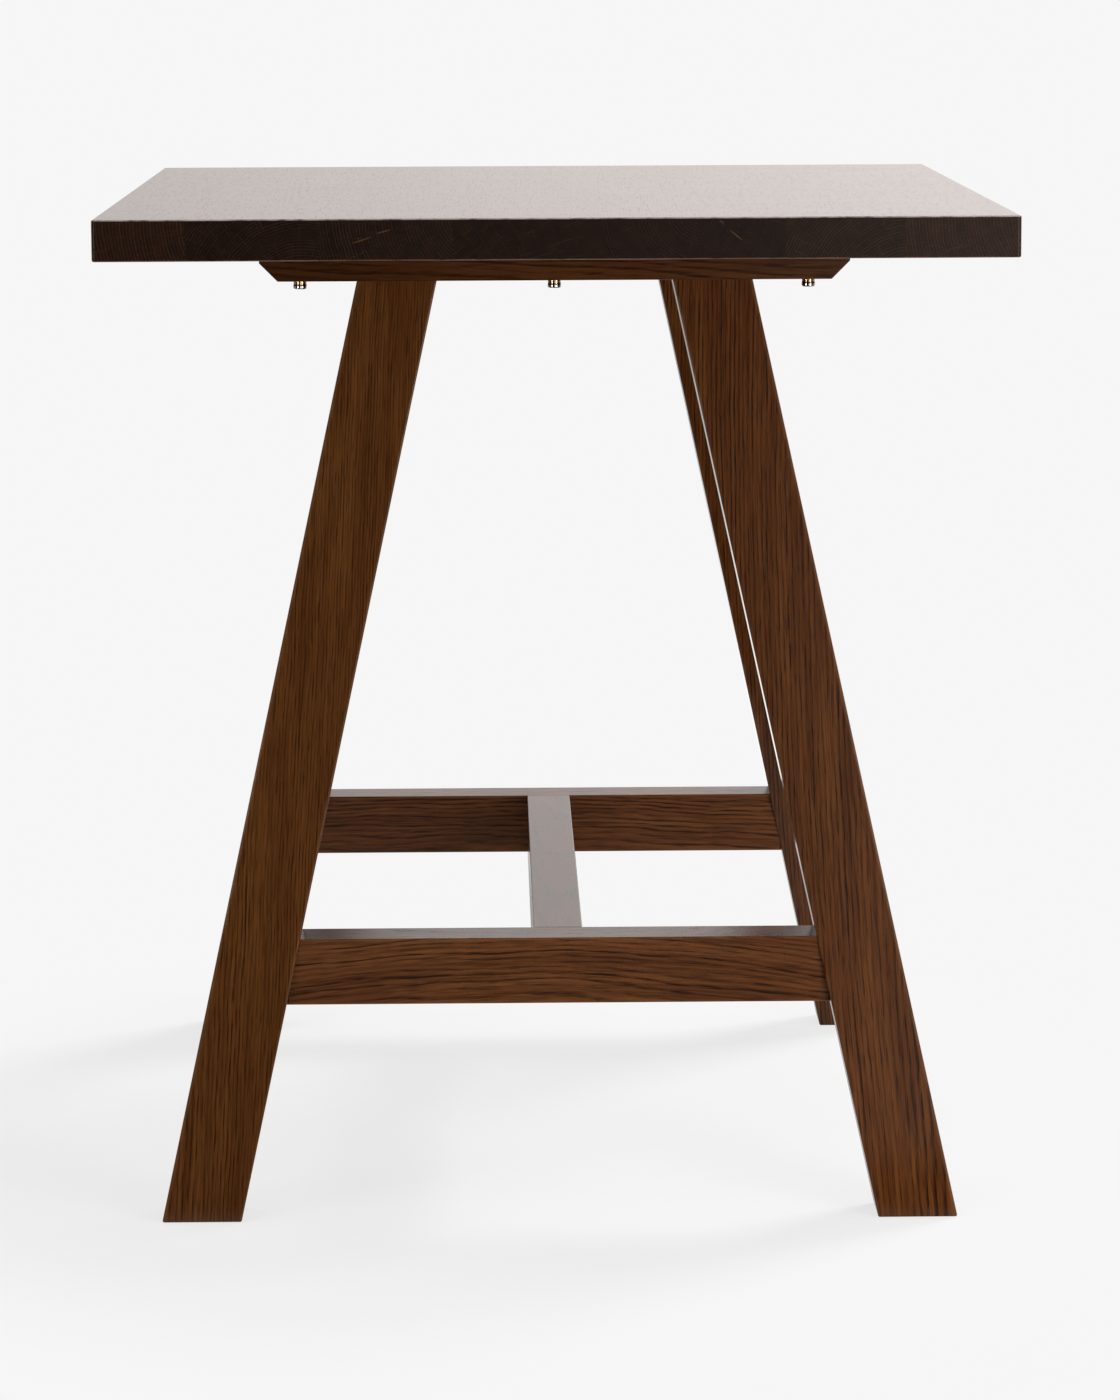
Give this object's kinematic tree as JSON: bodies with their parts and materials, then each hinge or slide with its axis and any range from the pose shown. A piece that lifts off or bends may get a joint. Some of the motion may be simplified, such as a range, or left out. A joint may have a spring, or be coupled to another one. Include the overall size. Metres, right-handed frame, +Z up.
{
  "type": "bar table",
  "caption": "Tall bar table with a thick slab top of glued staves on splayed timber legs, end rails and one long low stretcher.",
  "frame": {"origin": "on the floor under the middle of the top", "axes": "+Z up, +Y along the staves of the top and the stretcher, +X across the top; the end in the picture faces -Y"},
  "size_m": [0.975, 1.2, 1.1],
  "materials": {
    "top_oak": "dark stained oak, satin lacquer",
    "leg_oak": "dark stained oak, satin lacquer",
    "frame_oak": "dark stained oak, satin lacquer",
    "raw_beech": "unfinished beech",
    "steel": "yellow zinc-plated steel",
    "brass": "turned brass",
    "glide_plastic": "dark nylon"
  },
  "bodies": {
    "root": {"top_stave_1": "top_oak", "top_stave_2": "top_oak", "top_stave_3": "top_oak", "top_stave_4": "top_oak", "top_stave_5": "top_oak", "top_stave_6": "top_oak", "top_stave_7": "top_oak", "top_stave_8": "top_oak", "front_bearer": "frame_oak", "rear_bearer": "frame_oak", "front_left_leg": "leg_oak", "front_right_leg": "leg_oak", "rear_left_leg": "leg_oak", "rear_right_leg": "leg_oak", "front_rail": "frame_oak", "rear_rail": "frame_oak", "stretcher": "frame_oak", "leg_tenons": "raw_beech", "rail_tenons": "raw_beech", "stretcher_dowels": "raw_beech", "top_bolts": "steel", "spring_washers": "steel", "plain_washers": "steel", "stretcher_studs": "steel", "stud_washers": "steel", "stud_nuts": "steel", "glide_screws": "steel", "top_inserts": "brass", "stud_inserts": "brass", "foot_glides": "glide_plastic"}
  },
  "joints": []
}
